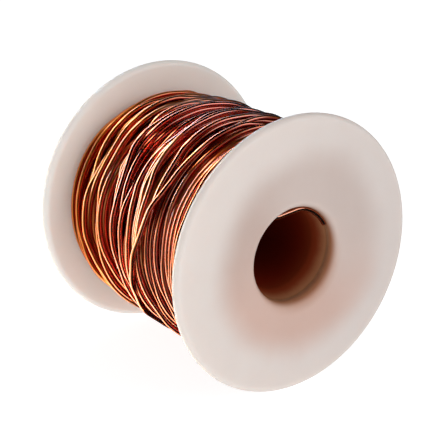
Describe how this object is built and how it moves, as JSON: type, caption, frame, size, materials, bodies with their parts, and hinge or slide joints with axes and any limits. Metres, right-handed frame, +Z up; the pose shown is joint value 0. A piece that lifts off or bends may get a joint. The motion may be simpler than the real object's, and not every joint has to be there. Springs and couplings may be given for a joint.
{
  "type": "wire spool",
  "caption": "Small plastic spool wound with enamelled copper wire, which turns on a spindle through its bore as the wire is drawn off.",
  "frame": {"origin": "the middle of the bore, halfway between the two flanges", "axes": "+X along the spool's axis towards the flange where the start of the wire shows, +Z up as the spool rests on its rims"},
  "size_m": [0.0328, 0.038, 0.038],
  "materials": {
    "flange_plastic": "frosted, slightly translucent white plastic with a satin surface",
    "barrel_plastic": "the same plastic, tinted by the wire behind it",
    "copper_wire": "copper under a clear enamel, glossy"
  },
  "bodies": {
    "root": {"barrel": "barrel_plastic", "front_flange": "flange_plastic", "rear_flange": "flange_plastic", "wire_layer_01": "copper_wire", "wire_layer_02": "copper_wire", "wire_layer_03": "copper_wire", "wire_layer_04": "copper_wire", "wire_layer_05": "copper_wire", "wire_layer_06": "copper_wire", "wire_layer_07": "copper_wire", "wire_layer_08": "copper_wire", "wire_layer_09": "copper_wire", "wire_layer_10": "copper_wire", "wire_layer_11": "copper_wire", "wire_layer_12": "copper_wire", "wire_layer_13": "copper_wire", "wire_layer_14": "copper_wire", "wire_layer_15": "copper_wire", "start_lead": "copper_wire", "finish_turn": "copper_wire"}
  },
  "joints": []
}
